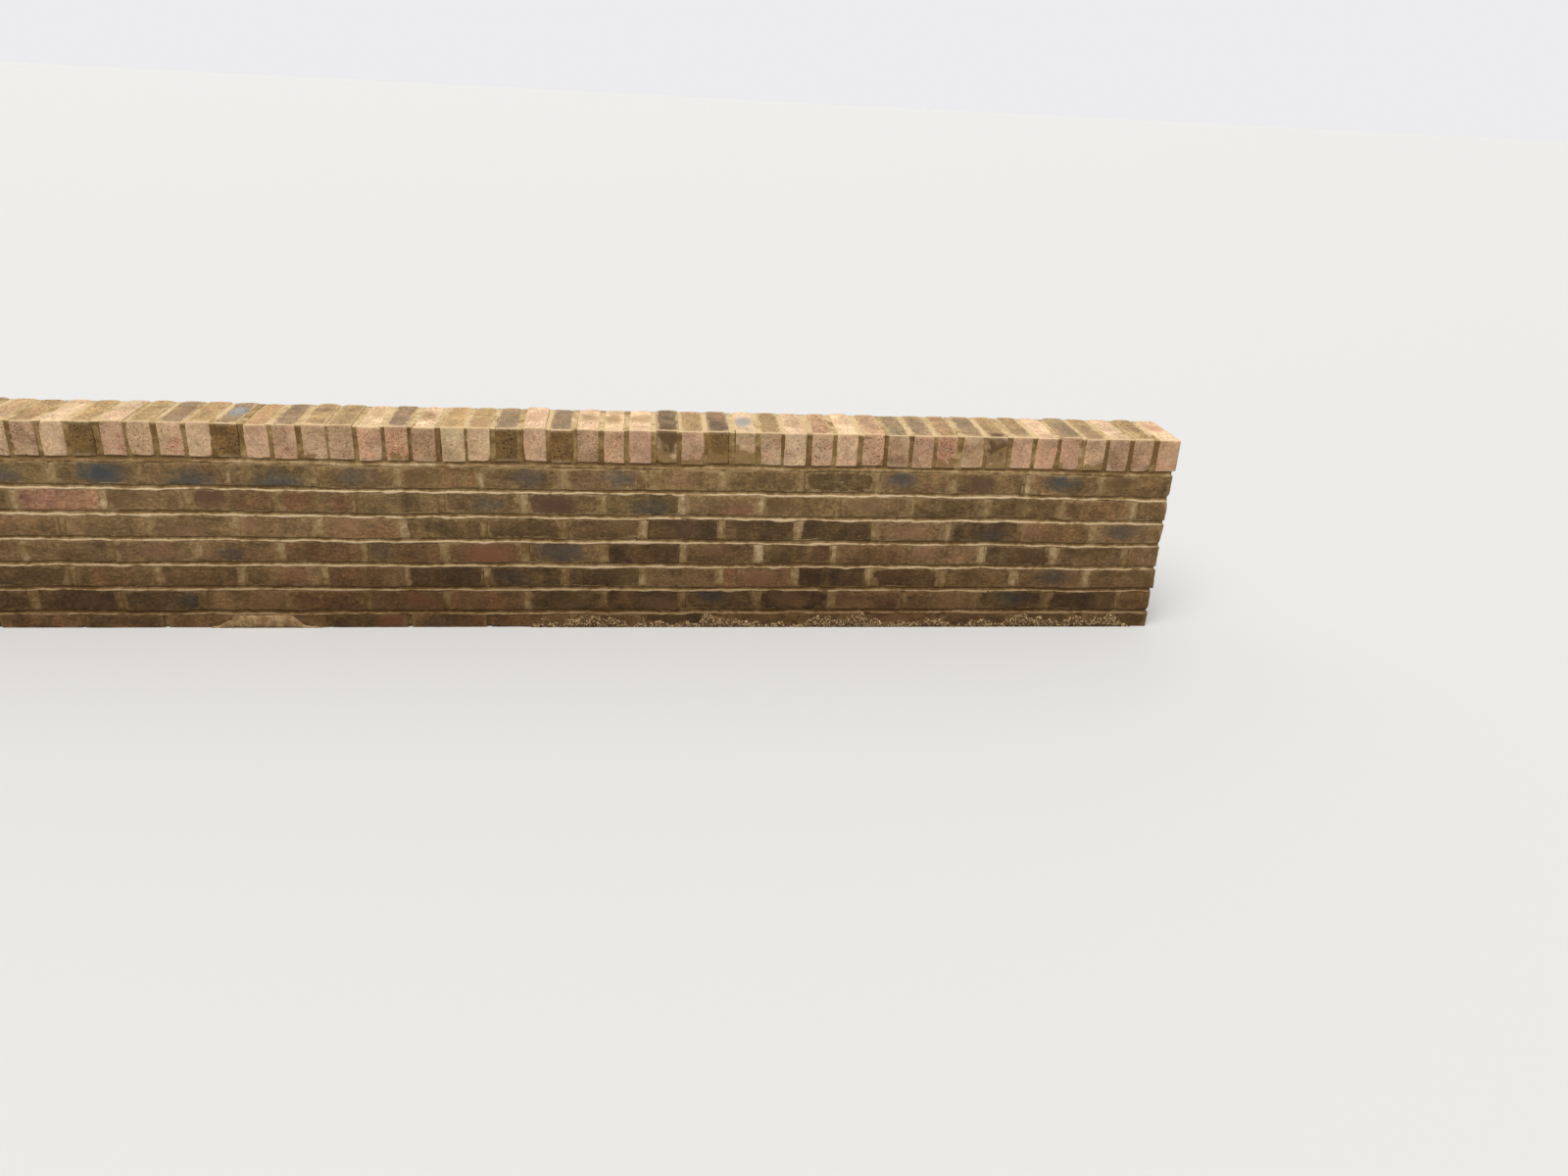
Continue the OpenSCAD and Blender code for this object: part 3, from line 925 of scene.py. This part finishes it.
def brick_material(name, rim_tone, coping):
    """Fired clay: two tones that mingle in blotches and bands, a patch of another tone, pits, drag
    marks and edges that the mortar has stained. A coping brick is creased, bloomed and smeared as
    well, and a brick of the wall is splashed and damp."""
    net = Net(name)
    grain = net.read("grain", "Vector")
    blotches = net.noise(grain, 24, 4)
    bands = net.noise(grain, (17, 4, 4), 1.5)
    share = net.step(net.math("ADD", blotches, bands), 0.8, 1.2)
    colour = net.mix(share, net.read("tone_a", "Color"), net.read("tone_b", "Color"))

    mottle = net.noise(grain, (12, 22, 22))
    grit = net.noise(grain, 130, 4, 0.65)
    bars = net.noise(grain, (45, 6, 6), 2)
    streaks = net.noise(grain, (60, 170, 170))
    torn = net.noise(grain, (110, 200, 200), 2)
    flakes = net.step(torn, 0.6, 0.68)
    nicks = net.times(net.step(torn, 0.40, 0.33), net.step(net.noise(grain, 17, 2), 0.40, 0.60))
    specks = net.noise(grain, 420, 2)
    contrast = 0.55 if coping else 0.8
    for value, darkest, lightest in (
        (mottle, 1 - contrast, 1 + contrast), (grit, 1 - contrast, 1 + contrast), (bars, 0.7, 1.3),
        (streaks, 1 - 0.8 * contrast, 1 + 0.8 * contrast), (flakes, 1.0, 1.32), (nicks, 1.0, 0.62),
        (specks, 0.75, 1.25),
    ):
        colour = net.brighten(colour, value, darkest, lightest)

    offset = net.vector("SUBTRACT", net.read("local", "Vector"), net.read("patch", "Vector"))[0]
    spread = net.vector("MULTIPLY", offset, (1 / 0.062, 1 / 0.06, 1 / 0.036))[0]
    reach = net.math("DIVIDE", net.vector("LENGTH", spread)["Value"], net.read("patch_size"))
    ragged = net.plus(reach, (net.noise(grain, 38, 4), 1.1))
    patch = net.times(net.step(ragged, 1.75, 0.75), net.read("patch", "Alpha"))
    colour = net.mix(patch, colour, net.read("patch_tone", "Color"))

    pitted = net.read("pits")
    pits = net.spots(grain, 80, 0.36, net.plus(-0.05, (pitted, 0.10)))
    small_pits = net.spots(grain, 170, 0.42, net.times(pitted, 0.16))
    hollows = net.math("MAXIMUM", pits, small_pits)
    # Pits are painted near black: painted shade inside them, besides their bump
    colour = net.mix(hollows, colour, net.mix(0.12, PIT, colour))
    if coping:
        crown = net.read("crown")
        bloom = net.step(net.noise(grain, 19, 2.5, 0.6), 0.48, 0.62)
        bloom = net.times(bloom, net.math("SUBTRACT", 1.0, crown), net.read("bloom"))
        colour = net.mix(bloom, colour, BLOOM)
        folds = net.step(net.noise(grain, (120, 230, 150), 3, 0.65), 0.52, 0.68)
        region = net.step(net.noise(grain, 32, 2), 0.36, 0.6)
        creases = net.times(folds, region, net.read("crease"))
        # The creases are darkened: painted shade in folds too fine for the mesh, besides their bump
        colour = net.mix(creases, colour, CREASE_SHADE, "MULTIPLY")
        hollows = net.math("MAXIMUM", hollows, net.times(creases, 0.5))
        # Worn clay and a painted highlight along the coping's long arrises
        colour = net.mix(net.times(net.read("wear"), 0.85), colour, WORN_EDGE_HIGHLIGHT)
    else:
        colour = net.mix(net.times(net.spots(grain, 62, 0.3, 0.05), 0.6), colour, MORTAR)

    frayed = net.plus(net.read("edge"), (net.noise(grain, 48, 4), 24 * MM))
    rim = net.times(net.step(frayed, 19 * MM, 15 * MM), net.read("rim"))
    if coping:
        rim = net.times(rim, crown)
        wobble = net.math("SUBTRACT", net.noise(grain, 26, 1.5), 0.5)
        bent = net.plus(net.read("smear"), (wobble, 1.6))
        film = net.mix(net.noise(grain, 60), *COPING_MORTAR[:2])
        colour = net.mix(net.times(net.step(bent, -0.02, 0.06), 0.85), colour, film)
    colour = net.mix(net.times(rim, 0.75), colour, rim_tone)
    if not coping:
        colour = damp(net, colour, DAMP_BRICK)
    height = net.times(specks, 0.3)
    height = net.plus(height, (blotches, 0.9), (streaks, 0.4), (nicks, -0.4), (hollows, -1.4))
    return net.finish(colour, height)


def mortar_material(name, tones, is_wall):
    """Sandy mortar with blotches and grains: dirt and painted shade in hollows, a painted highlight on
    lips
    """
    net = Net(name)
    place = net.place()
    patches = net.math("SUBTRACT", net.noise(place, 55, 4, 0.6), 0.5)
    # pale darkens the hollows with dirt and painted shade, and lights the lips with a painted highlight
    level = net.math("ADD", net.plus(0.45, (patches, 2.2)), net.read("pale"))
    colour = net.mix(net.ramp(level, 0.35, 0.95), *tones[:2])
    colour = net.mix(net.ramp(level, 1.0, 1.75), colour, tones[2])
    sand = net.noise(place, 330, 4, 0.7)
    colour = net.brighten(colour, sand, 0.5, 1.5)
    voids = net.spots(place, 190, 0.30, 0.05)
    # Voids are painted near black: painted shade inside them
    colour = net.mix(net.times(voids, 0.6), colour, PIT)
    if is_wall:
        colour = damp(net, colour, DAMP_MORTAR)
        colour = damp(net, colour, DAMP_FOOT, 0.24, 0.08)
    crumbly = net.noise(place, 170, 3, 0.65)
    return net.finish(colour, net.plus(net.times(sand, 1.2), (crumbly, 2.2), (voids, -1.0)), 0.95)


def crumb_material():
    """Crumbs of mortar and sand, each of its own tone"""
    net = Net("crumbs")
    sand = net.noise(net.place(), 600, 2)
    return net.finish(net.brighten(net.read("tone", "Color"), sand, 0.5, 1.5), sand, 0.95)


def rubble_material():
    """A mass of crumbs: rounded grains of several tones with dark gaps, or else sandy, smeared mortar"""
    net = Net("rubble")
    place = net.place()
    distance, traits = net.cells(place, 185, 240, 3 * MM)
    # The gaps between grains are painted dark: painted shade, besides their bump
    gap = net.step(distance, 0.42, 0.68)
    grains = net.mix(gap, net.mix(net.ramp(traits[0], 0.15, 0.95), *RUBBLE), RUBBLE_GAP_SHADE)
    smear = net.mix(net.step(net.noise(place, 45, 4, 0.6), 0.4, 0.62), *SMEARED_MORTAR)
    sand = net.noise(place, 330, 4, 0.7)
    lumpy = net.read("lumpy")
    colour = net.brighten(net.mix(lumpy, smear, grains), sand, 0.5, 1.5)
    height = net.plus(net.times(gap, lumpy, -2.5), (sand, 1.2))
    return net.finish(colour, height, 0.95)


def make_wall():
    """Every piece of the wall, course by course and then the coping"""
    brick = brick_material("stock_brick", MORTAR, False)
    coping = brick_material("coping_brick", COPING_MORTAR[2], True)
    mortar = mortar_material("sandy_mortar", WALL_MORTAR, True)
    pale_mortar = mortar_material("coping_mortar", COPING_MORTAR, False)
    for course in range(1, COURSES + 1):
        for side in ("front", "back"):
            node = f"{side}_course_{course}"
            piece(f"{side}_bricks_{course}", course_bricks(course, side), brick, node)
            piece(f"{side}_perpends_{course}", course_perpends(course, side), mortar, node)
        collar = f"collar_joint_{course}"
        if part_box(collar)[1].x > HALF_L - MM:
            piece(f"collar_ends_{course}", collar_ends(course), mortar, collar)
        for side in ("left", "right"):
            node = f"{side}_header_{course}"
            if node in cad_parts:
                piece(f"{side}_end_brick_{course}", end_header(course, side), brick, node)
    for node in [f"bed_joint_{k}" for k in range(1, COURSES)] + ["coping_bed"]:
        profile = SHADED if node == "coping_bed" else TOOLED
        piece(f"mortar_{node}", bed_joint(node, profile), mortar, node)
    for bay in range(1, BAYS + 1):
        node = f"coping_bay_{bay}"
        piece(f"coping_bricks_{bay}", coping_bricks(bay), coping, node)
        piece(f"coping_mortar_{bay}", coping_joints(bay), pale_mortar, node)
    ridge, loose = crumbs()
    piece("mortar_droppings", ridge, rubble_material(), "front_course_1")
    piece("mortar_crumbs", loose, crumb_material(), "front_course_1")
    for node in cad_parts.values():
        node.data.materials.clear()
        node.data.materials.append(mortar)


def make_camera():
    """The photograph's view: a camera held 1.55 m above the foot of the wall, 3.2 m in front of it"""
    data = bpy.data.cameras.new("camera")
    data.sensor_width = 36.0
    data.lens = 27.36
    right = Vector((0.99290, -0.10788, 0.05014))
    back = Vector((-0.11894, -0.90876, 0.40000))
    turn = Matrix((right, back.cross(right), back)).transposed().to_4x4()
    camera = put("camera", data)
    camera.matrix_world = Matrix.Translation((0.4449, -3.3476, 1.5546)) @ turn
    bpy.context.scene.camera = camera


def floor_material():
    """A pale floor, which throws less light back at the wall than it shows to the camera"""
    net = Net("pale_floor")
    seen = net.node("LightPath")["Is Camera Ray"]
    inputs = {"Base Color": net.mix(seen, FLOOR_LIT, FLOOR_SEEN), "Roughness": 0.8}
    net.node("OutputMaterial", {"Surface": net.node("BsdfPrincipled", inputs)[0]})
    return net.owner


def sun(name, strength, width, heading):
    """A soft lamp, as many degrees wide as width says, whose light goes that way"""
    lamp = bpy.data.lights.new(name, "SUN")
    lamp.energy = strength
    lamp.angle = math.radians(width)
    put(name, lamp).rotation_euler = Vector(heading).to_track_quat("-Z", "Y").to_euler()


def make_stage():
    """A wide floor, an overhead softbox in front of the wall, and an even, pale surround, which the
    camera, gloss and glass see as brighter than it lights"""
    reach = 60.0
    mesh = bpy.data.meshes.new("floor")
    corners = [(x * reach, y * reach, 0) for x, y in ((-1, -1), (1, -1), (1, 1), (-1, 1))]
    mesh.from_pydata(corners, [], [(0, 1, 2, 3)])
    mesh.materials.append(floor_material())
    floor = put("floor", mesh)
    sun("softbox", 2.9, 50, (0.35, 0.9, -1.75))
    sun("fill", 0.5, 90, (0.3, -1, -0.3))

    net = Net("surround", "worlds")
    path = net.node("LightPath")
    seen = net.math("ADD", path["Is Camera Ray"], path["Is Glossy Ray"])
    seen = net.math("ADD", seen, path["Is Transmission Ray"])
    inputs = {"Color": SURROUND, "Strength": net.scaled(seen, 0.55, 1.0)}
    net.node("OutputWorld", {"Surface": net.node("Background", inputs)[0]})
    bpy.context.scene.world = net.owner


bpy.context.scene.view_settings.view_transform = "Standard"
make_camera()
make_stage()
make_wall()
